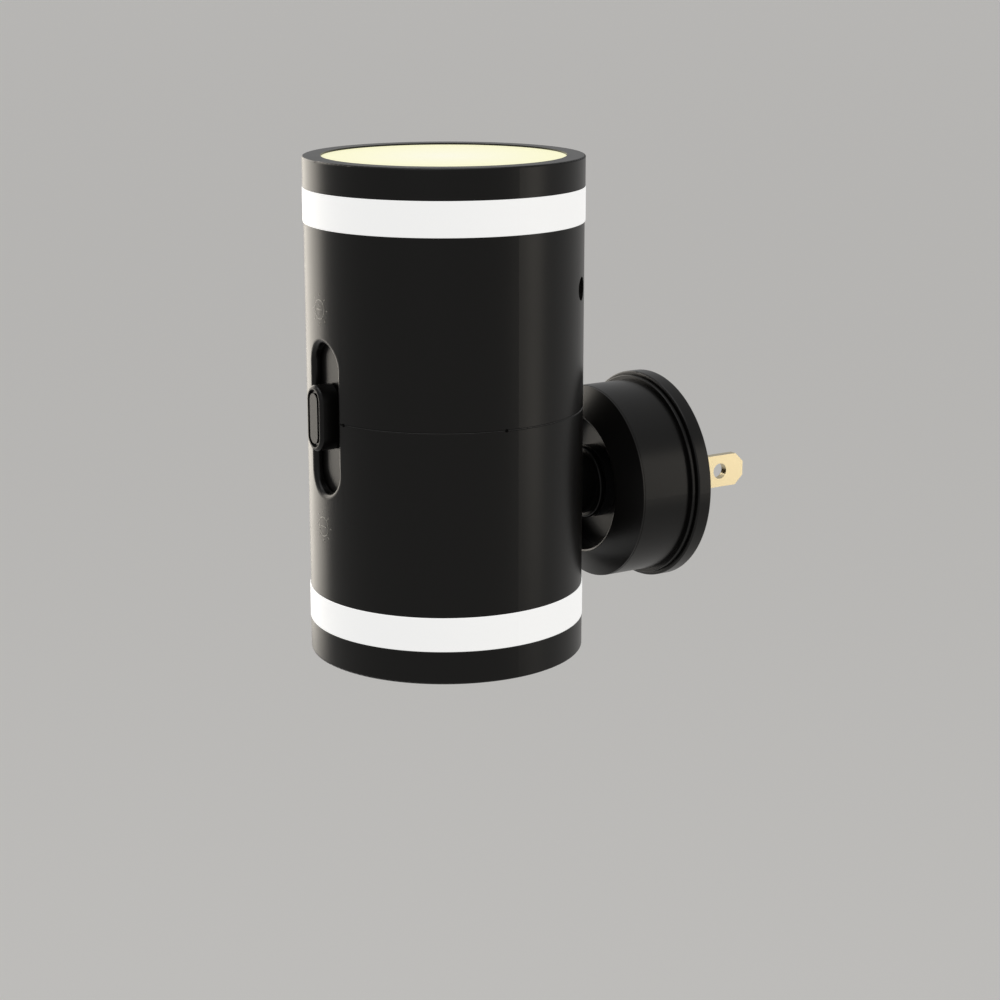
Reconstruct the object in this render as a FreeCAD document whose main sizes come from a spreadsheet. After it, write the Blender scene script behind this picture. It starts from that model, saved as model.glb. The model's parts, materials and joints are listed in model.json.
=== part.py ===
import math
import os
import re

import FreeCAD
import Part
import Sketcher

# Plug in night light: an upright cylinder head with a lamp at each end, on a short swivel
# neck, on a round plug base.
# Frame: origin at the middle of the base's back face, +Z up, +Y into the wall.
# The plug axis is Y, and the head's own axis is vertical, head_offset out from the wall.

doc = FreeCAD.newDocument("plug_in_night_light")

# Driving sizes in millimetres
SIZES = dict(
    # head
    head_offset=46.6,
    head_below=27.25,
    head_height=91.7,
    housing_radius=25.4,
    housing_wall=2.0,
    seam_height=45.85,
    seam_chamfer=0.15,
    lap_height=2.5,
    lap_clearance=0.05,
    bulkhead=1.5,
    # light bands, bezels and lenses
    band_proud=0.15,
    band_wall=2.35,
    band_height=6.3,
    band_round=0.4,
    bezel_proud=0.1,
    bezel_round=0.35,
    lower_bezel_height=6.1,
    upper_bezel_height=5.5,
    bezel_rim=3.4,
    lens_sink=0.3,
    lens_flange=0.9,
    lens_flange_thick=1.2,
    lens_clearance=0.05,
    lip_thick=1.5,
    reflector_gap=0.4,
    # lamp boards
    led_board_gap=1.4,
    led_board_thick=1.2,
    led_board_depth=6.0,
    led_ring_gap=4.0,
    led_ring_start=15.0,
    led_board_bore=2.5,
    led_width=2.8,
    led_thick=0.7,
    led_count=12,
    post_margin=4.8,
    post_radius=2.0,
    led_screw_length=3.3,
    wire_way_radius=3.0,
    # slider
    slot_width=8.6,
    slot_length=27.4,
    slot_depth=1.9,
    slot_rim=1.0,
    knob_width=5.7,
    knob_height=12.0,
    knob_proud=1.85,
    knob_round=0.6,
    knob_rest=0.4,
    knob_gap=0.15,
    knob_groove=0.45,
    knob_groove_width=0.7,
    knob_groove_inset=0.75,
    knob_stem_length=6.0,
    knob_stem_width=2.4,
    slide_gap=0.3,
    end_gap=0.2,
    shutter_gap=0.2,
    shutter_lap=1.0,
    shutter_bed=2.0,
    shutter_thick=0.5,
    # slide potentiometer and control board
    slide_pot_width=9.0,
    slide_pot_length=35.0,
    slide_pot_gap=0.3,
    lever_width=2.0,
    lever_length=3.0,
    lever_reach=3.6,
    lever_space=0.5,
    slide_pot_depth=7.1,
    board_thick=1.6,
    board_width=30.0,
    board_low=15.5,
    board_top_gap=15.2,
    board_hole_x=10.0,
    board_hole_margin=4.5,
    board_post_radius=2.4,
    board_post_sink=0.5,
    # parts on the control board
    capacitor_radius=4.0,
    capacitor_length=13.0,
    capacitor_bead=1.8,
    capacitor_bead_depth=0.4,
    inductor_radius=4.0,
    inductor_core=3.4,
    inductor_cheek=1.4,
    inductor_length=9.0,
    round_parts_side=6.5,
    round_parts_up=15.0,
    line_capacitor_width=13.0,
    line_capacitor_depth=10.0,
    line_capacitor_height=5.5,
    line_capacitor_up=1.0,
    rectifier_width=6.4,
    rectifier_depth=2.4,
    rectifier_height=5.0,
    rectifier_side=7.0,
    chip_width=5.0,
    chip_depth=1.6,
    chip_height=6.0,
    chip_side=5.0,
    chips_down=9.0,
    fuse_radius=1.8,
    fuse_length=9.0,
    fuse_up=5.5,
    # light sensor
    sensor_height=41.0,
    sensor_angle=135.0,
    sensor_hole=2.1,
    sensor_sink=0.7,
    sensor_window_thick=1.2,
    sensor_radius=2.5,
    sensor_thick=2.2,
    sensor_wall=1.0,
    sensor_lead_gap=0.3,
    sensor_boss_sink=1.0,
    sensor_seat_extra=0.5,
    fit=0.05,
    # neck
    neck_radius=6.0,
    neck_thread_radius=5.0,
    neck_bore=3.2,
    neck_shoulder=1.4,
    neck_pad=18.0,
    neck_pad_depth=4.8,
    neck_end=7.4,
    neck_spare=1.2,
    nut_flats=14.0,
    nut_thick=3.0,
    collar_radius=7.0,
    collar_near=15.2,
    collar_far=16.6,
    collar_round=0.5,
    # base
    cover_radius=20.2,
    cover_thick=3.0,
    cover_round=0.35,
    lip_radius=19.45,
    lip_start=3.2,
    lip_end=3.9,
    groove_radius=19.0,
    base_radius=18.6,
    base_wall=1.8,
    base_rim=14.15,
    base_front=17.6,
    recess_radius=13.1,
    front_ring_round=0.25,
    front_ring_edge=0.4,
    front_ring_land=0.4,
    front_ring_chamfer=0.3,
    recess_floor=12.9,
    bush_radius=6.2,
    bush_flange_radius=7.0,
    bush_flange=2.0,
    bush_clearance=0.05,
    bush_back=10.8,
    washer_thick=0.5,
    washer_radius=7.6,
    washer_gap=0.1,
    washer_play=0.25,
    stop_ring_radius=7.4,
    stop_ring_thick=1.6,
    stop_reach=11.4,
    stop_width=2.0,
    stop_overlap=0.6,
    stop_sink=0.3,
    stop_space=1.0,
    clip_thick=0.6,
    clip_radius=6.4,
    # plug blades
    blade_spacing=12.7,
    blade_thick=1.5,
    blade_width=6.35,
    blade_length=17.5,
    blade_point=1.8,
    blade_hole=1.55,
    blade_hole_place=11.9,
    blade_inner=6.0,
    carrier_width=24.0,
    carrier_height=11.0,
    carrier_depth=3.2,
    lead_radius=1.1,
    lead_side=1.4,
    lead_gap=0.3,
    # fasteners
    base_screw_place=14.3,
    base_screw_radius=1.2,
    base_screw_head=2.2,
    base_screw_head_thick=1.5,
    base_screw_length=8.0,
    base_screw_sink=0.3,
    drive_width=0.7,
    drive_length=2.6,
    drive_depth=1.2,
    base_post_radius=2.4,
    base_post_gap=0.5,
    small_screw_radius=1.0,
    small_screw_head=1.9,
    small_screw_head_thick=0.9,
    small_screw_length=4.6,
    hole_clearance=0.1,
    thread_depth=0.1,
    # how far a cutting or joining shape runs past what it cuts or joins
    over=1.0,
    slight=0.01,
)

# Places worked out from the driving sizes; heights run up from the head's lower end,
# and distances out run from the wall face of the base
PLACES = dict(
    inner_radius="(housing_radius - housing_wall)",
    band_radius="(housing_radius + band_proud)",
    band_bore="(band_radius - band_wall)",
    bezel_radius="(housing_radius + bezel_proud)",
    lens_radius="(bezel_radius - bezel_rim)",
    led_board_radius="(band_bore - led_board_gap)",
    post_circle="(led_board_radius - post_margin)",
    led_ring_radius="(post_circle - led_ring_gap)",
    reflector_neck_radius="(post_circle + small_screw_head + reflector_gap)",
    led_board_back="(led_board_depth + led_board_thick)",
    small_screw_core="(small_screw_radius - thread_depth)",
    base_screw_core="(base_screw_radius - thread_depth)",
    lap_radius="(housing_radius - housing_wall / 2)",
    shell_low="(lower_bezel_height + band_height)",
    shell_high="(head_height - upper_bezel_height - band_height)",
    lens_hole="(lens_radius + lens_clearance)",
    lens_outer="(lens_radius + lens_flange)",
    lens_back="(lip_thick + lens_flange_thick)",
    bezel_bore="(lens_radius + lens_flange + lens_clearance)",
    seam_up="(seam_height - head_below)",
    knob_front_out="(head_offset + housing_radius + knob_proud)",
    knob_back_out="(head_offset + housing_radius - slot_depth + knob_gap)",
    shutter_out="(head_offset + housing_radius - slot_depth - shutter_gap)",
    slide_pot_out="(shutter_out - shutter_thick - slide_pot_gap)",
    board_out="(slide_pot_out - slide_pot_depth)",
    board_offset="(board_out - head_offset)",
    board_high="(head_height - board_top_gap)",
    knob_up="(seam_height - head_below + knob_rest)",
    slide_travel="((slot_length - knob_height) / 2 - end_gap)",
    shutter_width="(slot_width + 2 * shutter_lap)",
    shutter_length="(slot_length + 2 * slide_travel + 2 * shutter_lap)",
    neck_seat_out="(head_offset - housing_radius + neck_shoulder)",
    neck_pad_out="(head_offset - housing_radius + neck_pad_depth)",
    board_mid="((board_low + board_high) / 2 - head_below)",
    board_back_out="(board_out - board_thick)",
    stop_ring_out="(bush_back - washer_thick - 2 * washer_gap - stop_ring_thick)",
    base_bore="(base_radius - base_wall)",
    carrier_out="(cover_thick + carrier_depth)",
)

sheet = doc.addObject("Spreadsheet::Sheet", "sizes")
for row, (alias, number) in enumerate(SIZES.items(), start=1):
    sheet.set(f"A{row}", alias)
    sheet.set(f"B{row}", str(number))
    sheet.setAlias(f"B{row}", alias)
doc.recompute()

# Turns that carry a shape drawn along +Z onto another direction
UPRIGHT = FreeCAD.Rotation()
OUTWARD = FreeCAD.Rotation(FreeCAD.Vector(1, 0, 0), 90)
INTO_WALL = FreeCAD.Rotation(FreeCAD.Vector(1, 0, 0), -90)
DOWNWARD = FreeCAD.Rotation(FreeCAD.Vector(1, 0, 0), 180)

nodes = []


def formula(text):
    """A formula in plain size names, as the sheet reads it."""
    while any(name in PLACES for name in re.findall(r"[a-z_]+", text)):
        text = re.sub(r"[a-z_]+", lambda word: PLACES.get(word.group(), word.group()), text)
    return re.sub(r"[a-z_]+", lambda word: f"sizes.{word.group()}" if word.group() in SIZES else word.group(), text)


def measure(text):
    """The present value of a formula."""
    return float(sheet.evalExpression(formula(text)))


def bind(thing, **sizes):
    for name, text in sizes.items():
        thing.setExpression(name, formula(text))


def put(thing, at, turn=UPRIGHT):
    """Places a shape by three formulas and a turn."""
    thing.Placement = FreeCAD.Placement(FreeCAD.Vector(), turn)
    for axis, text in zip("xyz", at):
        thing.setExpression(f"Placement.Base.{axis}", formula(text))
    return thing


def rod(radius, length, at, turn=UPRIGHT):
    shape = doc.addObject("Part::Cylinder", "rod")
    bind(shape, Radius=radius, Height=length)
    return put(shape, at, turn)


def block(width, depth, height, at, turn=UPRIGHT):
    """A block whose middle in plan stands at the given place, its base on it."""
    shape = doc.addObject("Part::Box", "block")
    bind(shape, Length=width, Width=depth, Height=height)
    x, y, z = at
    return put(shape, (f"{x} - ({width}) / 2", f"{y} - ({depth}) / 2", z), turn)


def cut(base, *tools):
    for tool in tools:
        result = doc.addObject("Part::Cut", "cut")
        result.Base = base
        result.Tool = tool
        base = result
    return base


def fuse(*shapes):
    result = doc.addObject("Part::MultiFuse", "joined")
    result.Shapes = list(shapes)
    return result


def group(*shapes):
    result = doc.addObject("Part::Compound", "group")
    result.Links = list(shapes)
    return result


def node(name, thing):
    thing.Label = name
    nodes.append(thing)
    return thing


def origin_plane(body, role):
    return next(item for item in body.Origin.OriginFeatures if item.Role == role)


def new_sketch(body, role, away=None):
    sketch = body.newObject("Sketcher::SketchObject", "outline")
    sketch.AttachmentSupport = [(origin_plane(body, role), "")]
    sketch.MapMode = "FlatFace"
    if away:
        sketch.setExpression("AttachmentOffset.Base.z", formula(away))
    return sketch


def closed_outline(sketch, corners):
    """Straight sides through the corners, each corner held by two formulas."""
    points = [FreeCAD.Vector(measure(across), measure(up), 0) for across, up in corners]
    count = len(points)
    for index in range(count):
        sketch.addGeometry(Part.LineSegment(points[index], points[(index + 1) % count]), False)
    for index in range(count):
        sketch.addConstraint(Sketcher.Constraint("Coincident", index, 2, (index + 1) % count, 1))
    for index, (across, up) in enumerate(corners):
        for kind, text, axis in (("DistanceX", across, -2), ("DistanceY", up, -1)):
            number = measure(text)
            if abs(number) < 1e-9:
                sketch.addConstraint(Sketcher.Constraint("PointOnObject", index, 1, axis))
                continue
            held = sketch.addConstraint(Sketcher.Constraint(kind, -1, 1, index, 1, number))
            sketch.setExpression(f"Constraints[{held}]", formula(text))


def stadium(sketch, width, length):
    """A slot outline about the sketch's origin, its long way up."""
    radius = measure(width) / 2
    reach = (measure(length) - measure(width)) / 2
    vector = FreeCAD.Vector
    first = len(sketch.Geometry)
    top = Part.Circle(vector(0, reach, 0), vector(0, 0, 1), radius)
    low = Part.Circle(vector(0, -reach, 0), vector(0, 0, 1), radius)
    sketch.addGeometry(Part.ArcOfCircle(top, 0, math.pi), False)
    sketch.addGeometry(Part.LineSegment(vector(-radius, reach, 0), vector(-radius, -reach, 0)), False)
    sketch.addGeometry(Part.ArcOfCircle(low, math.pi, 2 * math.pi), False)
    sketch.addGeometry(Part.LineSegment(vector(radius, -reach, 0), vector(radius, reach, 0)), False)
    for step in range(4):
        ends = (first + step, 2, first + (step + 1) % 4, 1)
        sketch.addConstraint(Sketcher.Constraint("Tangent", *ends))
    sketch.addConstraint(Sketcher.Constraint("PointOnObject", first, 3, -2))
    sketch.addConstraint(Sketcher.Constraint("Symmetric", first, 3, first + 2, 3, -1, 1))
    held = sketch.addConstraint(Sketcher.Constraint("Radius", first, radius))
    sketch.setExpression(f"Constraints[{held}]", formula(f"({width}) / 2"))
    held = sketch.addConstraint(Sketcher.Constraint("DistanceY", first + 2, 3, first, 3, 2 * reach))
    sketch.setExpression(f"Constraints[{held}]", formula(f"({length}) - ({width})"))


def turned(name, corners, at, turn=UPRIGHT):
    """A body turned about its own upright axis from an outline of (radius, height)."""
    body = doc.addObject("PartDesign::Body", name)
    sketch = new_sketch(body, "XZ_Plane")
    closed_outline(sketch, corners)
    feature = body.newObject("PartDesign::Revolution", "turned")
    feature.Profile = sketch
    feature.ReferenceAxis = (sketch, ["V_Axis"])
    feature.Angle = 360
    doc.recompute()
    return put(body, at, turn)


def ring_edges(feature, rings):
    """The circular edges with the given (radius, height) about the body's own axis."""
    found = []
    wanted = [(measure(radius), measure(height)) for radius, height in rings]
    for index, edge in enumerate(feature.Shape.Edges, start=1):
        if not isinstance(edge.Curve, Part.Circle):
            continue
        size = (edge.Curve.Radius, edge.Curve.Center.z)
        if any(abs(size[0] - radius) < 1e-4 and abs(size[1] - height) < 1e-4 for radius, height in wanted):
            found.append(f"Edge{index}")
    return found


def rounded(body, rings, radius):
    """Rounds the named ring edges of a turned body."""
    base = body.Tip
    feature = body.newObject("PartDesign::Fillet", "rounding")
    feature.Base = (base, ring_edges(base, rings))
    bind(feature, Radius=radius)
    body.Tip = feature
    doc.recompute()
    return body


HEAD_FOOT = ("0", "-head_offset", "-head_below")
HEAD_TOP = ("0", "-head_offset", "head_height - head_below")
WALL = ("0", "0", "0")


# Head shells: one skin with its slider slot and the flat bed its shutter runs in, parted at the seam
def head_skin():
    skin = turned("head_skin", [
        ("0", "shell_low"), ("housing_radius", "shell_low"),
        ("housing_radius", "shell_high"), ("0", "shell_high"),
        ("0", "shell_high - bulkhead"), ("inner_radius", "shell_high - bulkhead"),
        ("inner_radius", "shell_low + bulkhead"), ("0", "shell_low + bulkhead"),
    ], HEAD_FOOT)
    bed = new_sketch(skin, "XZ_Plane", "housing_radius - slot_depth - shutter_bed")
    half = "shutter_width / 2 + slide_gap"
    tall = "shutter_length / 2 + slide_travel + slide_gap"
    closed_outline(bed, [
        (f"-({half})", f"seam_height - ({tall})"), (half, f"seam_height - ({tall})"),
        (half, f"seam_height + {tall}"), (f"-({half})", f"seam_height + {tall}"),
    ])
    flat = skin.newObject("PartDesign::Pocket", "shutter_bed")
    flat.Profile = bed
    flat.Reversed = True
    bind(flat, Length="shutter_bed")
    recess = new_sketch(skin, "XZ_Plane", "housing_radius - slot_depth - over")
    recess.setExpression("AttachmentOffset.Base.y", formula("seam_height"))
    stadium(recess, "slot_width", "slot_length")
    pocket = skin.newObject("PartDesign::Pocket", "slot_recess")
    pocket.Profile = recess
    pocket.Reversed = True
    bind(pocket, Length="slot_depth + 2 * over")
    doc.recompute()
    rim = []
    for index, edge in enumerate(pocket.Shape.Edges, start=1):
        middle = edge.valueAt((edge.FirstParameter + edge.LastParameter) / 2)
        reach = (middle.x ** 2 + middle.y ** 2) ** 0.5
        near_slot = abs(middle.x) < measure("slot_width") * 0.6 and middle.y < 0
        inside = abs(middle.z - measure("seam_height")) < measure("slot_length") * 0.6
        if abs(reach - measure("housing_radius")) < 1e-3 and near_slot and inside:
            rim.append(f"Edge{index}")
    feature = skin.newObject("PartDesign::Fillet", "slot_rim")
    feature.Base = (pocket, rim)
    bind(feature, Radius="slot_rim")
    skin.Tip = feature
    doc.recompute()
    return skin


def ring(outer, inner, length, at, turn=UPRIGHT):
    return cut(rod(outer, length, at, turn), rod(inner, length, at, turn))


def seam_notch(lower):
    """The bevel of one shell's outer edge at the seam."""
    mark = doc.addObject("Part::Cone", "bevel")
    wide, narrow = "housing_radius + over", "housing_radius - seam_chamfer"
    if lower:
        bind(mark, Radius1=wide, Radius2=narrow, Height="over + seam_chamfer")
        put(mark, ("0", "-head_offset", "seam_up - over - seam_chamfer"))
    outer = rod(wide, "over + seam_chamfer", ("0", "-head_offset", "seam_up - over - seam_chamfer"))
    if not lower:
        bind(mark, Radius1=narrow, Radius2=wide, Height="over + seam_chamfer")
        put(mark, ("0", "-head_offset", "seam_up"))
        put(outer, ("0", "-head_offset", "seam_up"))
    return cut(outer, mark)


def board_post(side, up):
    """A post on the shell's wall that the control board is screwed to."""
    reach = "sqrt(inner_radius^2 - board_hole_x^2) - board_offset + board_post_sink"
    return rod("board_post_radius", reach, (f"{side} * board_hole_x", "-board_out", up), OUTWARD)


def board_post_bore(side, up):
    place = (f"{side} * board_hole_x", "-board_out + slight", up)
    return rod("small_screw_core", "small_screw_length", place, OUTWARD)


def around_axis(circle, angle):
    """The formulas of a place on a circle about the head's own axis."""
    return f"{circle} * cos({angle})", f"-head_offset + {circle} * sin({angle})"


def at_led_screws(radius, length, up):
    """A rod at each of a lamp board's three screws."""
    places = [around_axis("post_circle", angle) for angle in LED_SCREW_ANGLES]
    return [rod(radius, length, (x, y, up)) for x, y in places]


LED_SCREW_ANGLES = (90, 210, 330)
skin = head_skin()
BIG = "3 * housing_radius"
above_seam = block(BIG, BIG, "head_height", ("0", "-head_offset", "seam_up"))
below_seam = block(BIG, BIG, "head_height", ("0", "-head_offset", "seam_up - head_height"))
low_screw_up = "board_low - head_below + board_hole_margin"
high_screw_up = "board_high - head_below - board_hole_margin"


def lower_housing():
    shell = cut(skin, above_seam)
    lip = ring("lap_radius - lap_clearance", "inner_radius", "lap_height + over",
               ("0", "-head_offset", "seam_up - over"))
    gap = block("slot_width + 2 * slot_rim + housing_wall + 2 * end_gap", "housing_radius", "lap_height + 2 * over",
                ("0", "-head_offset - housing_radius", "seam_up - over"))
    pad = block("neck_pad", "neck_pad_depth - housing_wall", "neck_pad",
                ("0", "-neck_pad_out + (neck_pad_depth - housing_wall) / 2", "-neck_pad / 2"))
    posts = [board_post(side, low_screw_up) for side in (-1, 1)]
    led = at_led_screws("post_radius", "shell_low - led_board_back + bulkhead / 2", "led_board_back - head_below")
    solid = fuse(shell, cut(lip, gap), pad, *posts, *led)
    bore = rod("neck_thread_radius + fit", "neck_pad_depth + 2 * over",
               ("0", "-neck_pad_out - over", "0"), INTO_WALL)
    seat = rod("neck_radius + fit", "neck_shoulder + over", ("0", "-neck_seat_out", "0"), INTO_WALL)
    wire_way = rod("wire_way_radius", "bulkhead + 2 * over",
                   ("0", "-head_offset", "shell_low - head_below - over"))
    tools = [board_post_bore(side, low_screw_up) for side in (-1, 1)]
    tools += at_led_screws("small_screw_core", "led_screw_length", "led_board_back - head_below - slight")
    return cut(solid, bore, seat, wire_way, seam_notch(True), *tools)


def aimed(radius, length, start):
    """A rod along the light sensor's own line, from a distance off the head's axis."""
    shape = doc.addObject("Part::Cylinder", "sensor_rod")
    bind(shape, Radius=radius, Height=length)
    turn = FreeCAD.Rotation(FreeCAD.Vector(0, 0, 1), measure("sensor_angle") - 180).multiply(INTO_WALL)
    x = f"({start}) * sin(sensor_angle)"
    y = f"-head_offset - ({start}) * cos(sensor_angle)"
    return put(shape, (x, y, "sensor_height"), turn)


def upper_housing():
    shell = cut(skin, below_seam)
    lap = rod("lap_radius", "lap_height + lap_clearance", ("0", "-head_offset", "seam_up"))
    keep = block("slot_width + 2 * slot_rim + housing_wall", "housing_radius", "lap_height + 2 * over",
                 ("0", "-head_offset - housing_radius", "seam_up - over"))
    hollow = "sensor_radius + fit + sensor_wall"
    start = "inner_radius - sensor_thick - sensor_boss_sink"
    boss = aimed(hollow, "sensor_thick + sensor_boss_sink + housing_wall / 2", start)
    posts = [board_post(side, high_screw_up) for side in (-1, 1)]
    led = at_led_screws("post_radius", "head_height - led_board_back - shell_high + bulkhead / 2",
                        "shell_high - head_below - bulkhead / 2")
    solid = fuse(cut(shell, cut(lap, keep)), boss, *posts, *led)
    seat = aimed("sensor_radius + fit", "sensor_thick + sensor_boss_sink + sensor_seat_extra",
                 f"{start} - sensor_seat_extra")
    hole = aimed("sensor_hole + fit", "housing_wall + 2 * over", "inner_radius - over")
    wire_way = rod("wire_way_radius", "bulkhead + 2 * over",
                   ("0", "-head_offset", "shell_high - head_below - bulkhead - over"))
    tools = [board_post_bore(side, high_screw_up) for side in (-1, 1)]
    tools += at_led_screws("small_screw_core", "led_screw_length",
                           "head_height - head_below - led_board_back - led_screw_length + slight")
    return cut(solid, seat, hole, wire_way, seam_notch(False), *tools)


node("lower_housing", lower_housing())
node("upper_housing", upper_housing())


# Each lit end: bezel, lens, reflector, band and lamp board, drawn from its own outer face inwards
def lit_end(side, at, turn, bezel_height):
    bezel = turned(f"{side}_bezel", [
        ("lens_hole", "0"), ("bezel_radius", "0"), ("bezel_radius", bezel_height),
        ("bezel_bore", bezel_height), ("bezel_bore", "lip_thick"), ("lens_hole", "lip_thick"),
    ], at, turn)
    node(f"{side}_bezel", rounded(bezel, [("bezel_radius", "0")], "bezel_round"))
    node(f"{side}_lens", turned(f"{side}_lens", [
        ("0", "lens_sink"), ("lens_radius", "lens_sink"), ("lens_radius", "lip_thick"),
        ("lens_outer", "lip_thick"), ("lens_outer", "lens_back"), ("0", "lens_back"),
    ], at, turn))
    node(f"{side}_reflector", turned(f"{side}_reflector", [
        ("lens_radius", "lens_back"), ("lens_outer", "lens_back"),
        ("lens_outer", "led_board_depth"), ("reflector_neck_radius", "led_board_depth"),
    ], at, turn))
    band = turned(f"{side}_light_band", [
        ("band_bore", bezel_height), ("band_radius", bezel_height),
        ("band_radius", f"{bezel_height} + band_height"),
        ("band_bore", f"{bezel_height} + band_height"),
    ], at, turn)
    rings = [("band_radius", bezel_height), ("band_radius", f"{bezel_height} + band_height")]
    node(f"{side}_light_band", rounded(band, rings, "band_round / 2"))


def lamp_board(side, at, turn):
    """The lamp board with its screw holes, its ring of emitters and its three screws."""
    sign = "-" if side == "upper" else "+"
    face = f"({at[2]}) {sign} led_board_depth"
    places = [around_axis("post_circle", angle) for angle in LED_SCREW_ANGLES]
    board = rod("led_board_radius", "led_board_thick", ("0", "-head_offset", face), turn)
    middle = rod("led_board_bore", "led_board_thick", ("0", "-head_offset", face), turn)
    holes = [rod("small_screw_radius + hole_clearance", "led_board_thick", (x, y, face), turn) for x, y in places]
    node(f"{side}_led_board", cut(board, middle, *holes))
    emitters = []
    for index in range(SIZES["led_count"]):
        x, y = around_axis("led_ring_radius", f"{index} * 360 / led_count + led_ring_start")
        z = face if side == "upper" else f"{face} - led_thick"
        emitters.append(block("led_width", "led_width", "led_thick", (x, y, z)))
    node(f"{side}_leds", group(*emitters))
    screws = []
    for x, y in places:
        head = rod("small_screw_head", "small_screw_head_thick", (x, y, face), DOWNWARD.multiply(turn))
        shank = rod("small_screw_core", "led_screw_length", (x, y, face), turn)
        screws.append(fuse(head, shank))
    node(f"{side}_board_screws", group(*screws))


lit_end("lower", HEAD_FOOT, UPRIGHT, "lower_bezel_height")
lit_end("upper", HEAD_TOP, DOWNWARD, "upper_bezel_height")
lamp_board("lower", HEAD_FOOT, UPRIGHT)
lamp_board("upper", HEAD_TOP, DOWNWARD)


# Control board behind the slider, with its parts on the back
def control_board():
    length = "board_high - board_low"
    board = block("board_width", "board_thick", length,
                  ("0", "-board_out + board_thick / 2", "board_low - head_below"))
    holes = []
    for side in (-1, 1):
        for up in (low_screw_up, high_screw_up):
            place = (f"{side} * board_hole_x", "-board_out - over", up)
            holes.append(rod("small_screw_radius + hole_clearance", "board_thick + 2 * over", place, INTO_WALL))
    return cut(board, *holes)


def control_board_screws():
    screws = []
    for side in (-1, 1):
        for up in (low_screw_up, high_screw_up):
            x = f"{side} * board_hole_x"
            head = rod("small_screw_head", "small_screw_head_thick", (x, "-board_back_out", up), INTO_WALL)
            shank = rod("small_screw_core", "small_screw_length", (x, "-board_back_out", up), OUTWARD)
            screws.append(fuse(head, shank))
    return group(*screws)


def on_board(width, depth, height, x, up):
    """A block standing on the back of the control board."""
    place = (x, f"-board_back_out + ({depth}) / 2", f"board_mid + ({up}) - ({height}) / 2")
    return block(width, depth, height, place)


def filter_capacitor():
    waist = "capacitor_radius - capacitor_bead_depth"
    return turned("filter_capacitor", [
        ("0", "0"), ("capacitor_radius", "0"), ("capacitor_radius", "capacitor_bead - capacitor_bead_depth"),
        (waist, "capacitor_bead"), ("capacitor_radius", "capacitor_bead + capacitor_bead_depth"),
        ("capacitor_radius", "capacitor_length - capacitor_bead_depth"), (waist, "capacitor_length"),
        ("0", "capacitor_length"),
    ], ("-round_parts_side", "-board_back_out", "board_mid + round_parts_up"), INTO_WALL)


def inductor():
    far_cheek = "inductor_length - inductor_cheek"
    return turned("inductor", [
        ("0", "0"), ("inductor_radius", "0"), ("inductor_radius", "inductor_cheek"),
        ("inductor_core", "inductor_cheek"), ("inductor_core", far_cheek), ("inductor_radius", far_cheek),
        ("inductor_radius", "inductor_length"), ("0", "inductor_length"),
    ], ("round_parts_side", "-board_back_out", "board_mid + round_parts_up"), INTO_WALL)


def line_fuse():
    """The fuse lies across the board."""
    across = FreeCAD.Rotation(FreeCAD.Vector(0, 1, 0), 90)
    place = ("-fuse_length / 2", "-board_back_out + fuse_radius", "board_low - head_below + fuse_up")
    return rod("fuse_radius", "fuse_length", place, across)


node("control_board", control_board())
node("control_board_screws", control_board_screws())
node("filter_capacitor", filter_capacitor())
node("inductor", inductor())
node("line_capacitor", on_board("line_capacitor_width", "line_capacitor_depth", "line_capacitor_height",
                                "0", "line_capacitor_up"))
node("bridge_rectifier", on_board("rectifier_width", "rectifier_depth", "rectifier_height",
                                  "-rectifier_side", "-chips_down"))
node("driver_chip", on_board("chip_width", "chip_depth", "chip_height", "chip_side", "-chips_down"))
node("line_fuse", line_fuse())


# Slide potentiometer and what moves with the slider
def slide_potentiometer():
    mid = ("0", "-(slide_pot_out + board_out) / 2", "seam_up - slide_pot_length / 2")
    frame = block("slide_pot_width", "slide_pot_depth", "slide_pot_length", mid)
    travel = "2 * slide_travel + 2 * knob_rest + lever_length + 2 * slide_gap"
    slot = block("lever_width + 2 * slide_gap", "lever_reach + lever_space", travel,
                 ("0", "-slide_pot_out + (lever_reach + lever_space) / 2", f"seam_up - ({travel}) / 2"))
    return cut(frame, slot)


def slider_knob():
    body = doc.addObject("PartDesign::Body", "slider_knob")
    face = new_sketch(body, "XZ_Plane")
    stadium(face, "knob_width", "knob_height")
    pad = body.newObject("PartDesign::Pad", "knob_body")
    pad.Profile = face
    bind(pad, Length="knob_front_out - knob_back_out")
    doc.recompute()
    front = measure("knob_front_out - knob_back_out")
    edges = []
    for index, edge in enumerate(pad.Shape.Edges, start=1):
        if all(abs(corner.Y + front) < 1e-4 for corner in edge.Vertexes):
            edges.append(f"Edge{index}")
    feature = body.newObject("PartDesign::Fillet", "knob_edge")
    feature.Base = (pad, edges)
    bind(feature, Radius="knob_round")
    groove = new_sketch(body, "XZ_Plane", "knob_front_out - knob_back_out - knob_groove")
    stadium(groove, "knob_width - 2 * knob_groove_inset", "knob_height - 2 * knob_groove_inset")
    inner = "2 * knob_groove_inset - 2 * knob_groove_width"
    stadium(groove, f"knob_width - {inner}", f"knob_height - {inner}")
    pocket = body.newObject("PartDesign::Pocket", "knob_groove")
    pocket.Profile = groove
    pocket.Reversed = True
    bind(pocket, Length="knob_groove + over")
    stem = new_sketch(body, "XZ_Plane")
    stadium(stem, "knob_stem_width", "knob_stem_length")
    leg = body.newObject("PartDesign::Pad", "knob_stem")
    leg.Profile = stem
    leg.Reversed = True
    bind(leg, Length="knob_back_out - shutter_out")
    body.Tip = leg
    doc.recompute()
    return put(body, ("0", "-knob_back_out", "knob_up"))


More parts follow.
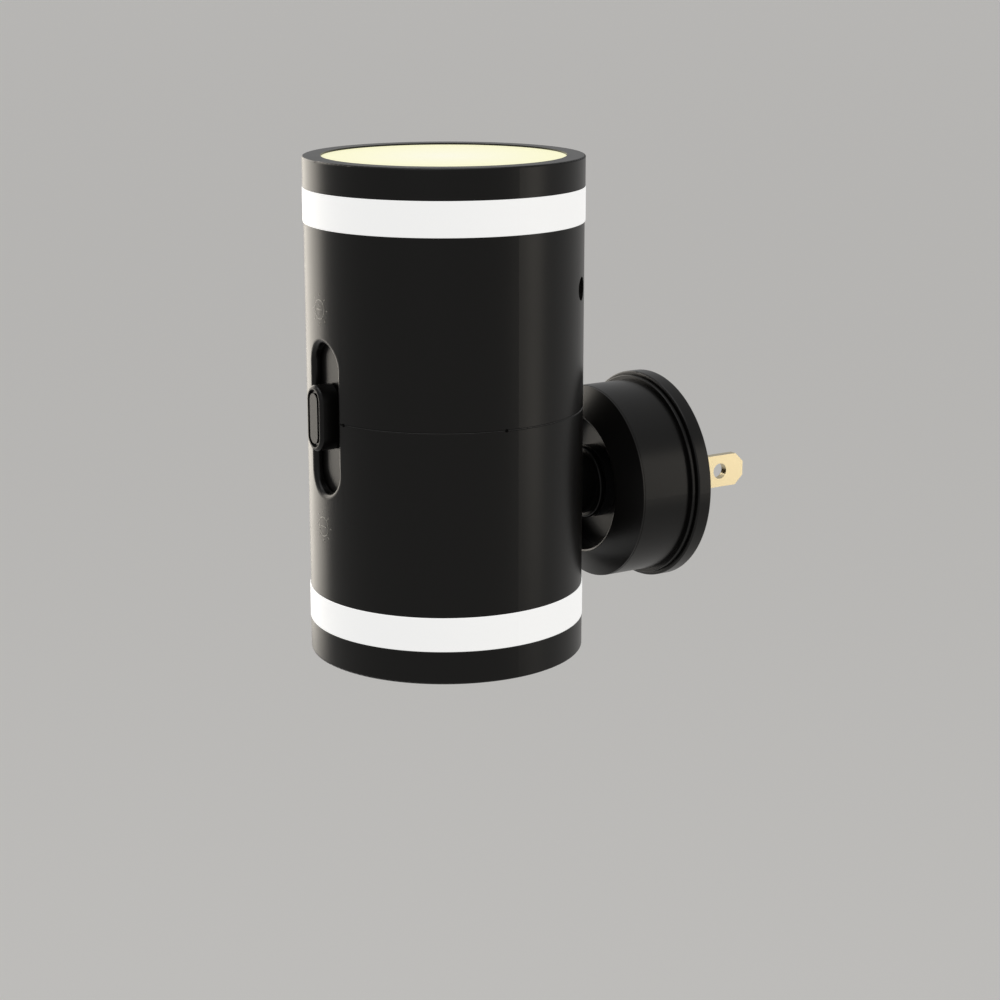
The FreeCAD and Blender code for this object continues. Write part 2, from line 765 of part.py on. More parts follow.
node("slide_potentiometer", slide_potentiometer())
node("slider_knob", slider_knob())
node("slider_shutter", block("shutter_width", "shutter_thick", "shutter_length",
                             ("0", "-shutter_out + shutter_thick / 2", "knob_up - shutter_length / 2")))
node("slide_pot_lever", block("lever_width", "lever_reach + slide_pot_gap", "lever_length",
                       ("0", "-shutter_out + shutter_thick + (lever_reach + slide_pot_gap) / 2",
                        "knob_up - lever_length / 2")))

# Light sensor behind its window in the side of the upper shell
node("sensor_window", aimed("sensor_hole", "sensor_window_thick",
                            "housing_radius - sensor_sink - sensor_window_thick"))
node("light_sensor", aimed("sensor_radius", "sensor_thick - sensor_lead_gap", "inner_radius - sensor_thick"))


# Swivel neck, fixed in the head, turning in the base
def neck_stem():
    stem = turned("neck_stem", [
        ("neck_bore", "neck_end"), ("neck_thread_radius", "neck_end"),
        ("neck_thread_radius", "collar_near"), ("collar_radius", "collar_near"),
        ("collar_radius", "collar_far"), ("neck_radius", "collar_far"),
        ("neck_radius", "neck_seat_out"), ("neck_thread_radius", "neck_seat_out"),
        ("neck_thread_radius", "neck_pad_out + nut_thick + neck_spare"),
        ("neck_bore", "neck_pad_out + nut_thick + neck_spare"),
    ], WALL, OUTWARD)
    return rounded(stem, [("collar_radius", "collar_far"), ("collar_radius", "collar_near")], "collar_round")


def neck_nut():
    nut = doc.addObject("Part::Prism", "nut")
    nut.Polygon = 6
    bind(nut, Circumradius="nut_flats / 2 / cos(30)", Height="nut_thick")
    put(nut, ("0", "-neck_pad_out", "0"), OUTWARD)
    return cut(nut, rod("neck_thread_radius", "nut_thick", ("0", "-neck_pad_out", "0"), OUTWARD))


def stop_ring():
    """The ring on the neck's end whose lug meets the stop in the base at the ends of the turn."""
    disc = rod("stop_ring_radius", "stop_ring_thick", ("0", "-stop_ring_out", "0"), OUTWARD)
    lug = block("stop_width", "stop_ring_thick", "stop_reach",
                ("0", "-stop_ring_out - stop_ring_thick / 2", "-stop_reach"))
    return cut(fuse(disc, lug), rod("neck_thread_radius", "stop_ring_thick", ("0", "-stop_ring_out", "0"), OUTWARD))


def neck_leads():
    """The two insulated leads through the neck, to the back of the control board."""
    length = "board_back_out - carrier_out - 2 * lead_gap"
    place = "-carrier_out - lead_gap"
    return group(*[rod("lead_radius", length, (f"{side} * lead_side", place, "0"), OUTWARD) for side in (-1, 1)])


node("neck_stem", neck_stem())
node("neck_nut", neck_nut())
node("stop_ring", stop_ring())
node("neck_clip", ring("clip_radius", "neck_thread_radius", "clip_thick",
                       ("0", "-stop_ring_out + clip_thick", "0"), OUTWARD))
node("neck_leads", neck_leads())


# Base
def base_housing():
    cup = turned("housing_cup", [
        ("base_bore", "cover_thick"), ("groove_radius", "cover_thick"), ("groove_radius", "lip_start"),
        ("lip_radius", "lip_start"), ("lip_radius", "lip_end"), ("base_radius", "lip_end"),
        ("base_radius", "base_rim"), ("bush_radius + fit", "base_rim"),
        ("bush_radius + fit", "recess_floor - base_wall"), ("base_bore", "recess_floor - base_wall"),
    ], WALL, OUTWARD)
    rounded(cup, [("lip_radius", "lip_end")], "(lip_end - lip_start) / 4")
    recess = rod("recess_radius", "base_rim", ("0", "-recess_floor", "0"), OUTWARD)
    posts = []
    bores = []
    post_length = "recess_floor - cover_thick - base_post_gap"
    for side in (-1, 1):
        up = f"{side} * base_screw_place"
        posts.append(rod("base_post_radius", post_length, ("0", "-cover_thick", up), OUTWARD))
        bores.append(rod("base_screw_core", "base_screw_length", ("0", "-cover_thick + slight", up), OUTWARD))
    stop_root = "recess_floor - base_wall + stop_sink"
    stop = block("stop_width", f"{stop_root} - stop_ring_out + stop_overlap",
                 "stop_reach - washer_radius - stop_space",
                 ("0", f"-({stop_root} + stop_ring_out - stop_overlap) / 2", "washer_radius + stop_overlap"))
    return cut(fuse(cut(cup, recess), stop, *posts), *bores)


def base_front_ring():
    bezel = turned("base_front_ring", [
        ("recess_radius", "base_rim"), ("base_radius - fit", "base_rim"),
        ("base_radius - fit", "base_rim + front_ring_edge"), ("recess_radius + front_ring_land", "base_front"),
        ("recess_radius", "base_front - front_ring_chamfer"),
    ], WALL, OUTWARD)
    return rounded(bezel, [("recess_radius + front_ring_land", "base_front")], "front_ring_round")


def base_rear_cover():
    disc = turned("rear_disc", [
        ("0", "0"), ("cover_radius", "0"), ("cover_radius", "cover_thick"), ("0", "cover_thick"),
    ], WALL, OUTWARD)
    rounded(disc, [("cover_radius", "cover_thick"), ("cover_radius", "0")], "cover_round")
    tools = []
    for side in (-1, 1):
        up = f"{side} * base_screw_place"
        tools.append(rod("base_screw_radius + hole_clearance", "cover_thick", ("0", "0", up), OUTWARD))
        tools.append(rod("base_screw_head + hole_clearance", "base_screw_head_thick", ("0", "0", up), OUTWARD))
        tools.append(block("blade_thick + 2 * fit", "cover_thick", "blade_width + 2 * fit",
                           (f"{side} * blade_spacing / 2", "-cover_thick / 2", "-blade_width / 2 - fit")))
    return cut(disc, *tools)


def blade(name, side):
    body = doc.addObject("PartDesign::Body", name)
    outline = new_sketch(body, "YZ_Plane")
    half = "blade_width / 2"
    closed_outline(outline, [
        ("-blade_inner", f"-{half}"), ("blade_length - blade_point", f"-{half}"),
        ("blade_length", f"-{half} + blade_point"), ("blade_length", f"{half} - blade_point"),
        ("blade_length - blade_point", half), ("-blade_inner", half),
    ])
    pad = body.newObject("PartDesign::Pad", "blade")
    pad.Profile = outline
    pad.SideType = "Symmetric"
    bind(pad, Length="blade_thick")
    hole = new_sketch(body, "YZ_Plane")
    place = measure("blade_hole_place")
    middle = FreeCAD.Vector(place, 0, 0)
    hole.addGeometry(Part.Circle(middle, FreeCAD.Vector(0, 0, 1), measure("blade_hole")), False)
    hole.addConstraint(Sketcher.Constraint("PointOnObject", 0, 3, -1))
    held = hole.addConstraint(Sketcher.Constraint("DistanceX", -1, 1, 0, 3, place))
    hole.setExpression(f"Constraints[{held}]", formula("blade_hole_place"))
    held = hole.addConstraint(Sketcher.Constraint("Radius", 0, measure("blade_hole")))
    hole.setExpression(f"Constraints[{held}]", formula("blade_hole"))
    pocket = body.newObject("PartDesign::Pocket", "blade_hole")
    pocket.Profile = hole
    pocket.SideType = "Symmetric"
    bind(pocket, Length="blade_thick + 2 * over")
    body.Tip = pocket
    doc.recompute()
    return put(body, (f"{side} * blade_spacing / 2", "0", "0"))


def blade_carrier():
    holder = block("carrier_width", "carrier_depth", "carrier_height",
                   ("0", "-cover_thick - carrier_depth / 2", "-carrier_height / 2"))
    slots = []
    for side in (-1, 1):
        slots.append(block("blade_thick + 2 * fit", "carrier_depth", "blade_width + 2 * fit",
                           (f"{side} * blade_spacing / 2", "-cover_thick - carrier_depth / 2",
                            "-blade_width / 2 - fit")))
    return cut(holder, *slots)


def base_screws():
    screws = []
    for side in (-1, 1):
        up = f"{side} * base_screw_place"
        face = "-base_screw_sink"
        head = rod("base_screw_head", "base_screw_head_thick - base_screw_sink", ("0", face, up), OUTWARD)
        shank = rod("base_screw_core", "base_screw_length", ("0", face, up), OUTWARD)
        upright = block("drive_width", "drive_depth", "drive_length", ("0", face, f"{up} - drive_length / 2"))
        level = block("drive_length", "drive_depth", "drive_width", ("0", face, f"{up} - drive_width / 2"))
        screws.append(cut(fuse(head, shank), upright, level))
    return group(*screws)


def neck_bush():
    return turned("neck_bush", [
        ("neck_thread_radius + bush_clearance", "bush_back"), ("bush_radius", "bush_back"),
        ("bush_radius", "recess_floor"), ("bush_flange_radius", "recess_floor"),
        ("bush_flange_radius", "recess_floor + bush_flange"),
        ("neck_thread_radius + bush_clearance", "recess_floor + bush_flange"),
    ], WALL, OUTWARD)


node("base_housing", base_housing())
node("base_front_ring", base_front_ring())
node("base_rear_cover", base_rear_cover())
node("blade_line", blade("blade_line", -1))
node("blade_neutral", blade("blade_neutral", 1))
node("blade_carrier", blade_carrier())
node("base_screws", base_screws())
node("neck_bush", neck_bush())
node("friction_washer", ring("washer_radius", "neck_thread_radius + washer_play", "washer_thick",
                             ("0", "-bush_back + washer_thick", "0"), OUTWARD))

# Every object sound, then every sub-part to its own file
doc.recompute()
for thing in doc.Objects:
    if {"Invalid", "Error"} & set(thing.State):
        raise RuntimeError(f"{thing.Label} ({thing.Name}) failed: {thing.State}")
os.makedirs("parts", exist_ok=True)
for thing in nodes:
    if thing.Shape.isNull() or not thing.Shape.isValid() or not thing.Shape.Solids:
        raise RuntimeError(f"{thing.Label} has no sound shape")
for thing in nodes:
    thing.Shape.exportStep(f"parts/{thing.Label}.step")
    box = thing.Shape.BoundBox
    print(f"{thing.Label}: {len(thing.Shape.Solids)} solid(s), volume {thing.Shape.Volume:.1f},"
          f" x {box.XMin:.2f}..{box.XMax:.2f} y {box.YMin:.2f}..{box.YMax:.2f} z {box.ZMin:.2f}..{box.ZMax:.2f}")
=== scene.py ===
import json
import math

import bmesh
import bpy
from mathutils import Matrix, Vector


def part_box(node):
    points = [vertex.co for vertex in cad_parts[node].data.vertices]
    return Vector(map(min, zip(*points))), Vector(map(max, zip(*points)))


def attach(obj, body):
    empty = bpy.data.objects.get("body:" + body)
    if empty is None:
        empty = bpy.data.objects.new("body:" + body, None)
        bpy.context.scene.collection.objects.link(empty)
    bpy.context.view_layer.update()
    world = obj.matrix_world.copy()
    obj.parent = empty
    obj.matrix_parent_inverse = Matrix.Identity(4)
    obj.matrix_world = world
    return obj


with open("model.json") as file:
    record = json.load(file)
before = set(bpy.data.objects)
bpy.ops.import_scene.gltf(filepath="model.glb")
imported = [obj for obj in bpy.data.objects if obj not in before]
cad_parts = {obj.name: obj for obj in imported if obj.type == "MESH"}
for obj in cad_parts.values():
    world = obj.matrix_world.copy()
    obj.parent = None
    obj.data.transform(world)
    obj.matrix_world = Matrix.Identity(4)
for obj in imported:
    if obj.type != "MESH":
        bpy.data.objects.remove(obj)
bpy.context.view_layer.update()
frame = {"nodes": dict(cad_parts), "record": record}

MM = 0.001

# Places read from the frame
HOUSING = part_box("lower_housing")
AXIS_OUT = (HOUSING[0][1] + HOUSING[1][1]) / 2
HOUSING_RADIUS = (HOUSING[1][0] - HOUSING[0][0]) / 2
SEAM_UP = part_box("upper_housing")[0][2]
HEAD_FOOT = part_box("lower_bezel")[0][2]
HEAD_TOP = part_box("upper_bezel")[1][2]
FLOOR_LEVEL = -12 * (HEAD_TOP - HEAD_FOOT)

# The two sun marks, above and below the slider
MARK_OFFSET = -0.55 * MM
PLUS_UP = 38.4 * MM
MINUS_UP = -1.3 * MM
MARK_RING = 1.75 * MM
MARK_LINE = 0.2 * MM
MARK_BAR = 1.9 * MM
RAY_START = 2.4 * MM
RAY_END = 2.85 * MM
MARK_PROUD = 0.02 * MM
MARK_SINK = 0.03 * MM
MARK_SIDES = 48
MARK_CUTS = 3
RAY_COUNT = 8

# Pin dots on the seam, by their angle from the front towards the right
SEAM_DOT_ANGLES = (14.4, 84.6)
SEAM_DOT_RADIUS = 0.32 * MM
SEAM_DOT_SIDES = 20

# The thin lip in the bottom of the seam, from one side of the slot round to the other, its ends in degrees
LIP_RADIUS = 0.065 * MM
LIP_DEPTH = 0.06 * MM
LIP_START = 14.0
LIP_END = 346.0
LIP_STEPS = 166
LIP_SIDES = 8

# The camera, where the photograph was taken from
CAMERA_PLACE = Vector((349.5, -251.1, 102.8)) * MM
CAMERA_AZIMUTH = math.radians(58.24)
CAMERA_ELEVATION = math.radians(14.2)
CAMERA_LENS = 80.55
CAMERA_SENSOR = 36.0
CAMERA_NEAR = 0.01

# The studio: FLOOR_LIFT and WORLD_SEEN are what the camera, a gloss and glass see, WORLD_LIGHT lights the object
WARM = (1.0, 0.93, 0.82)
FLOOR_HALF = 60.0
FLOOR_COLOUR = (0.55, 0.54, 0.52)
FLOOR_GLOW = (1.0, 0.985, 0.96)
FLOOR_ROUGHNESS = 0.9
FLOOR_LIFT = 0.32
WORLD_LIGHT = 0.22
WORLD_SEEN = 0.45

# The finishes' shared patterns and bumps, with scales in cells per metre
CLOUD_SCALE = 90.0
SPECK_SCALE = 900.0
SPECK_SIZE = 0.09
DUST_COLOUR = (0.32, 0.3, 0.27)
PLASTIC_GRAIN = 5500.0
FROST_GRAIN = 3500.0
FROST_ROUGHNESS = 0.5
FROST_BUMP = 0.2
FROST_DEPTH = 0.02 * MM
BRUSHED_UP = (400.0, 400.0, 9000.0)
BRUSHED_OUT = (400.0, 9000.0, 400.0)
BRUSHED_ROUGHER = (-0.06, 0.1)
BRUSHED_LIGHTER = (0.82, 1.1)
BRUSHED_BUMP = 0.15
BRUSHED_DEPTH = 0.01 * MM
BLACK = (0.005, 0.0046, 0.0042)


# Shader groups shared by several materials
def new_group(name, inputs, outputs):
    """A shader group with (name, kind, default) inputs and (name, kind) outputs."""
    group = bpy.data.node_groups.new(name, "ShaderNodeTree")
    for label, kind, default in inputs:
        socket = group.interface.new_socket(name=label, in_out="INPUT", socket_type=kind)
        socket.default_value = default
    for label, kind in outputs:
        group.interface.new_socket(name=label, in_out="OUTPUT", socket_type=kind)
    return group, group.nodes.new("NodeGroupInput"), group.nodes.new("NodeGroupOutput")


def add_node(tree, kind, **settings):
    """A node with its properties, and its inputs by name, set."""
    node = tree.nodes.new(kind)
    for name, value in settings.items():
        if hasattr(node, name):
            setattr(node, name, value)
        else:
            node.inputs[name.replace("_", " ").title()].default_value = value
    return node


def moulded_grain_group():
    """Fine moulded texture, broad cloudiness and a little dust, from the piece's own coordinates."""
    group, given, out = new_group("moulded_grain", [
        ("Colour", "NodeSocketColor", (*BLACK, 1)), ("Dust", "NodeSocketFloat", 0.05),
        ("Roughness", "NodeSocketFloat", 0.4), ("Spread", "NodeSocketFloat", 0.08),
        ("Grain", "NodeSocketFloat", PLASTIC_GRAIN),
    ], [("Colour", "NodeSocketColor"), ("Roughness", "NodeSocketFloat"), ("Height", "NodeSocketFloat")])
    link = group.links.new
    place = add_node(group, "ShaderNodeTexCoord")
    grain = add_node(group, "ShaderNodeTexNoise", detail=2.0, roughness=0.6)
    cloud = add_node(group, "ShaderNodeTexNoise", scale=CLOUD_SCALE, detail=4.0, roughness=0.55)
    specks = add_node(group, "ShaderNodeTexVoronoi", scale=SPECK_SCALE)
    few = add_node(group, "ShaderNodeMapRange", from_min=0.0, from_max=SPECK_SIZE, to_min=1.0, to_max=0.0)
    thin = add_node(group, "ShaderNodeMath", operation="MULTIPLY")
    spread = add_node(group, "ShaderNodeMath", operation="MULTIPLY_ADD")
    centred = add_node(group, "ShaderNodeMath", operation="SUBTRACT")
    centred.inputs[1].default_value = 0.5
    tint = add_node(group, "ShaderNodeMix", data_type="RGBA", blend_type="MIX")
    tint.inputs["B"].default_value = (*DUST_COLOUR, 1)
    for texture in (grain, cloud, specks):
        link(place.outputs["Object"], texture.inputs["Vector"])
    link(given.outputs["Grain"], grain.inputs["Scale"])
    link(specks.outputs["Distance"], few.inputs["Value"])
    link(few.outputs["Result"], thin.inputs[0])
    link(given.outputs["Dust"], thin.inputs[1])
    link(thin.outputs["Value"], tint.inputs["Factor"])
    link(given.outputs["Colour"], tint.inputs["A"])
    link(cloud.outputs["Fac"], centred.inputs[0])
    link(centred.outputs["Value"], spread.inputs[0])
    link(given.outputs["Spread"], spread.inputs[1])
    link(given.outputs["Roughness"], spread.inputs[2])
    link(tint.outputs["Result"], out.inputs["Colour"])
    link(spread.outputs["Value"], out.inputs["Roughness"])
    link(grain.outputs["Fac"], out.inputs["Height"])
    return group


def brushed_group():
    """Fine lines along one axis, for drawn and turned metal."""
    group, given, out = new_group("brushed_lines", [
        ("Colour", "NodeSocketColor", (0.6, 0.6, 0.6, 1)), ("Roughness", "NodeSocketFloat", 0.3),
        ("Stretch", "NodeSocketVector", BRUSHED_UP),
    ], [("Colour", "NodeSocketColor"), ("Roughness", "NodeSocketFloat"), ("Height", "NodeSocketFloat")])
    link = group.links.new
    place = add_node(group, "ShaderNodeTexCoord")
    scale = add_node(group, "ShaderNodeVectorMath", operation="MULTIPLY")
    lines = add_node(group, "ShaderNodeTexNoise", scale=1.0, detail=3.0)
    spread = add_node(group, "ShaderNodeMapRange", to_min=BRUSHED_ROUGHER[0], to_max=BRUSHED_ROUGHER[1])
    total = add_node(group, "ShaderNodeMath", operation="ADD")
    shade = add_node(group, "ShaderNodeMapRange", to_min=BRUSHED_LIGHTER[0], to_max=BRUSHED_LIGHTER[1])
    tint = add_node(group, "ShaderNodeVectorMath", operation="SCALE")
    link(place.outputs["Object"], scale.inputs[0])
    link(given.outputs["Stretch"], scale.inputs[1])
    link(scale.outputs["Vector"], lines.inputs["Vector"])
    link(lines.outputs["Fac"], spread.inputs["Value"])
    link(lines.outputs["Fac"], shade.inputs["Value"])
    link(spread.outputs["Result"], total.inputs[0])
    link(given.outputs["Roughness"], total.inputs[1])
    link(given.outputs["Colour"], tint.inputs[0])
    link(shade.outputs["Result"], tint.inputs["Scale"])
    link(tint.outputs["Vector"], out.inputs["Colour"])
    link(total.outputs["Value"], out.inputs["Roughness"])
    link(lines.outputs["Fac"], out.inputs["Height"])
    return group


GRAIN = moulded_grain_group()
BRUSHED = brushed_group()


# Materials
def new_material(name):
    """A material with its tree and its shader."""
    material = bpy.data.materials.new(name)
    material.use_nodes = True
    tree = material.node_tree
    return material, tree, tree.nodes["Principled BSDF"]


def bumped(tree, shader, height, strength, distance):
    """Feeds a height to the shader's normal."""
    bump = add_node(tree, "ShaderNodeBump")
    bump.inputs["Strength"].default_value = strength
    bump.inputs["Distance"].default_value = distance
    tree.links.new(height, bump.inputs["Height"])
    tree.links.new(bump.outputs["Normal"], shader.inputs["Normal"])


def grouped(tree, shader, shared, **values):
    """Places a shared group with its own values, which feeds the shader its colour and roughness."""
    group = tree.nodes.new("ShaderNodeGroup")
    group.node_tree = shared
    for name, value in values.items():
        group.inputs[name.title()].default_value = value
    tree.links.new(group.outputs["Colour"], shader.inputs["Base Color"])
    tree.links.new(group.outputs["Roughness"], shader.inputs["Roughness"])
    return group


def plastic(name, colour, roughness=0.4, spread=0.08, dust=0.0, depth=0.015 * MM, strength=0.25, specular=0.5):
    """Moulded plastic with its own fine grain."""
    material, tree, shader = new_material(name)
    group = grouped(tree, shader, GRAIN, colour=(*colour, 1), roughness=roughness, spread=spread, dust=dust,
                    grain=PLASTIC_GRAIN)
    shader.inputs["Specular IOR Level"].default_value = specular
    bumped(tree, shader, group.outputs["Height"], strength, depth)
    return material


def metal(name, colour, roughness=0.28, stretch=BRUSHED_UP):
    """Bare metal with fine brushed lines."""
    material, tree, shader = new_material(name)
    group = grouped(tree, shader, BRUSHED, colour=(*colour, 1), roughness=roughness, stretch=stretch)
    shader.inputs["Metallic"].default_value = 1.0
    bumped(tree, shader, group.outputs["Height"], BRUSHED_BUMP, BRUSHED_DEPTH)
    return material


def lit_diffuser(name, colour, middle, edge, reach, strength):
    """A frosted diffuser lit from inside, its light one colour on the head's axis and another at its edge."""
    material, tree, shader = new_material(name)
    link = tree.links.new
    group = grouped(tree, shader, GRAIN, colour=(*colour, 1), dust=0.0, roughness=FROST_ROUGHNESS, grain=FROST_GRAIN)
    place = add_node(tree, "ShaderNodeTexCoord")
    centred = add_node(tree, "ShaderNodeMapping")
    centred.inputs["Location"].default_value = (0, -AXIS_OUT, 0)
    centred.inputs["Scale"].default_value = (1, 1, 0)
    off_axis = add_node(tree, "ShaderNodeVectorMath", operation="LENGTH")
    tone = add_node(tree, "ShaderNodeMapRange", from_min=0.0, from_max=reach)
    mix = add_node(tree, "ShaderNodeMix", data_type="RGBA")
    mix.inputs["A"].default_value = (*middle, 1)
    mix.inputs["B"].default_value = (*edge, 1)
    link(place.outputs["Object"], centred.inputs["Vector"])
    link(centred.outputs["Vector"], off_axis.inputs[0])
    link(off_axis.outputs["Value"], tone.inputs["Value"])
    link(tone.outputs["Result"], mix.inputs["Factor"])
    link(mix.outputs["Result"], shader.inputs["Emission Color"])
    shader.inputs["Emission Strength"].default_value = strength
    bumped(tree, shader, group.outputs["Height"], FROST_BUMP, FROST_DEPTH)
    return material


MATERIALS = {
    "black_housing": plastic("satin_black_housing", BLACK, roughness=0.3, spread=0.06, dust=0.012, specular=0.28),
    "black_knob": plastic("satin_black_knob", BLACK, roughness=0.28, spread=0.05, dust=0.008, specular=0.28),
    "black_inner": plastic("matt_black_inner", (0.03, 0.03, 0.03), roughness=0.6),
    "light_diffuser": lit_diffuser("lit_white_band", (0.55, 0.55, 0.55), middle=(1.0, 1.0, 1.0),
                                   edge=(1.0, 1.0, 0.99), reach=HOUSING_RADIUS, strength=0.69),
    "warm_lens": lit_diffuser("lit_warm_lens", (0.5, 0.48, 0.36), middle=(1.0, 0.99, 0.84),
                              edge=(0.99, 0.98, 0.57), reach=HOUSING_RADIUS, strength=0.62),
    "white_reflector": plastic("white_reflector", (0.86, 0.86, 0.84), roughness=0.25),
    "white_board": plastic("white_board", (0.82, 0.82, 0.8)),
    "emitter": plastic("yellow_emitter", (0.85, 0.6, 0.12), roughness=0.2, strength=0.1),
    "green_board": plastic("green_board", (0.02, 0.13, 0.05), roughness=0.35),
    "screw_steel": metal("turned_steel", (0.6, 0.6, 0.6)),
    "plated_blade": metal("plated_brass_blade", (0.72, 0.62, 0.4), roughness=0.22, stretch=BRUSHED_OUT),
    "acetal": plastic("black_acetal", (0.02, 0.02, 0.02)),
    "capacitor_sleeve": plastic("dark_blue_sleeve", (0.02, 0.03, 0.08), roughness=0.3),
    "film_capacitor": plastic("ochre_film_capacitor", (0.6, 0.4, 0.05), roughness=0.3),
    "ferrite": plastic("grey_ferrite", (0.07, 0.07, 0.07), roughness=0.65),
    "chip_black": plastic("moulded_chip", (0.02, 0.02, 0.02), roughness=0.55),
    "fuse_body": plastic("green_fuse", (0.12, 0.3, 0.16)),
    "potentiometer_steel": metal("tinned_cover", (0.58, 0.58, 0.56), roughness=0.35),
    "sensor_glass": plastic("dark_sensor_window", (0.012, 0.01, 0.009), roughness=0.08, spread=0.02, strength=0.02),
    "sensor_body": plastic("red_brown_sensor", (0.4, 0.12, 0.06)),
    "lead_insulation": plastic("grey_insulation", (0.5, 0.5, 0.5), roughness=0.5),
}
PRINTED_MARK = plastic("printed_mark", (0.3, 0.29, 0.26), roughness=0.3, strength=0.1, specular=0.32)
# The seam lip's finish: the housing's black made lighter and glossier, a painted highlight along the seam line
LIP_PAINTED_SHEEN = plastic("seam_lip_painted_sheen", (0.02, 0.019, 0.018), roughness=0.3, specular=0.6, strength=0.1)
# Near-black matt finish for the seam's pin holes: painted shade in place of the holes' depth
HOLE_PAINTED_SHADE = plastic("painted_hole_shade", (0.002, 0.002, 0.002), roughness=0.9, specular=0.1, strength=0.0)


def dress_nodes():
    """Every CAD node takes the finish of its slot."""
    for entry in frame["record"]["subparts"]:
        thing = frame["nodes"][entry["node"]]
        material = MATERIALS[entry["material_slot"]]
        if not thing.material_slots:
            thing.data.materials.append(None)
        for place in thing.material_slots:
            place.link = "OBJECT"
            place.material = material


# The printed sun marks
def ray_tree(material):
    """Rays round a centre, with inputs for their count, ends, width and depth."""
    tree = bpy.data.node_groups.new("sun_rays", "GeometryNodeTree")
    for label, kind in (("Count", "NodeSocketInt"), ("Start", "NodeSocketFloat"), ("End", "NodeSocketFloat"),
                        ("Width", "NodeSocketFloat"), ("Depth", "NodeSocketFloat")):
        tree.interface.new_socket(name=label, in_out="INPUT", socket_type=kind)
    tree.interface.new_socket(name="Geometry", in_out="OUTPUT", socket_type="NodeSocketGeometry")
    link = tree.links.new
    given = tree.nodes.new("NodeGroupInput")
    out = tree.nodes.new("NodeGroupOutput")
    total = add_node(tree, "ShaderNodeMath", operation="ADD")
    middle = add_node(tree, "ShaderNodeMath", operation="MULTIPLY")
    middle.inputs[1].default_value = 0.5
    circle = add_node(tree, "GeometryNodeMeshCircle")
    points = tree.nodes.new("GeometryNodeMeshToPoints")
    index = tree.nodes.new("GeometryNodeInputIndex")
    step = add_node(tree, "ShaderNodeMath", operation="DIVIDE")
    step.inputs[0].default_value = 2 * math.pi
    angle = add_node(tree, "ShaderNodeMath", operation="MULTIPLY")
    turn = tree.nodes.new("ShaderNodeCombineXYZ")
    length = add_node(tree, "ShaderNodeMath", operation="SUBTRACT")
    size = tree.nodes.new("ShaderNodeCombineXYZ")
    bar = tree.nodes.new("GeometryNodeMeshCube")
    spread = tree.nodes.new("GeometryNodeInstanceOnPoints")
    real = tree.nodes.new("GeometryNodeRealizeInstances")
    finish = tree.nodes.new("GeometryNodeSetMaterial")
    finish.inputs["Material"].default_value = material
    link(given.outputs["End"], total.inputs[0])
    link(given.outputs["Start"], total.inputs[1])
    link(total.outputs["Value"], middle.inputs[0])
    link(given.outputs["Count"], circle.inputs["Vertices"])
    link(middle.outputs["Value"], circle.inputs["Radius"])
    link(circle.outputs["Mesh"], points.inputs["Mesh"])
    link(given.outputs["Count"], step.inputs[1])
    link(index.outputs["Index"], angle.inputs[0])
    link(step.outputs["Value"], angle.inputs[1])
    link(angle.outputs["Value"], turn.inputs["Z"])
    link(given.outputs["End"], length.inputs[0])
    link(given.outputs["Start"], length.inputs[1])
    link(length.outputs["Value"], size.inputs["X"])
    link(given.outputs["Width"], size.inputs["Y"])
    link(given.outputs["Depth"], size.inputs["Z"])
    link(size.outputs["Vector"], bar.inputs["Size"])
    link(points.outputs["Points"], spread.inputs["Points"])
    link(bar.outputs["Mesh"], spread.inputs["Instance"])
    link(turn.outputs["Vector"], spread.inputs["Rotation"])
    link(spread.outputs["Instances"], real.inputs["Geometry"])
    link(real.outputs["Geometry"], finish.inputs["Geometry"])
    link(finish.outputs["Geometry"], out.inputs["Geometry"])
    return tree


def tree_mesh(name, tree, values):
    """The mesh that a tree makes with these input values."""
    holder = bpy.data.objects.new(name + "_holder", bpy.data.meshes.new(name + "_empty"))
    bpy.context.scene.collection.objects.link(holder)
    modifier = holder.modifiers.new("maker", "NODES")
    modifier.node_group = tree
    for item in tree.interface.items_tree:
        if item.in_out == "INPUT" and item.name in values:
            modifier[item.identifier] = values[item.name]
    bpy.context.view_layer.update()
    made = bpy.data.meshes.new_from_object(holder.evaluated_get(bpy.context.evaluated_depsgraph_get()))
    bpy.data.objects.remove(holder)
    return made


def add_bar(bm, width, height, depth):
    """A flat bar about the middle."""
    made = bmesh.ops.create_cube(bm, size=1.0)
    bmesh.ops.scale(bm, verts=made["verts"], vec=(width, height, depth))


def add_ring(bm, radius, line, depth):
    """A flat ring with square edges."""
    rims = []
    for reach in (radius - line / 2, radius + line / 2):
        for level in (-depth / 2, depth / 2):
            turn = [2 * math.pi * step / MARK_SIDES for step in range(MARK_SIDES)]
            rims.append([bm.verts.new((reach * math.cos(a), reach * math.sin(a), level)) for a in turn])
    low_in, high_in, low_out, high_out = rims
    for a, b in ((high_in, high_out), (high_out, low_out), (low_out, low_in), (low_in, high_in)):
        for step in range(MARK_SIDES):
            after = (step + 1) % MARK_SIDES
            bm.faces.new((a[step], b[step], b[after], a[after]))


def add_to_head(name, mesh, material):
    """Puts a finished mesh on the head."""
    mesh.materials.clear()
    mesh.materials.append(material)
    piece = bpy.data.objects.new(name, mesh)
    bpy.context.scene.collection.objects.link(piece)
    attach(piece, "head")


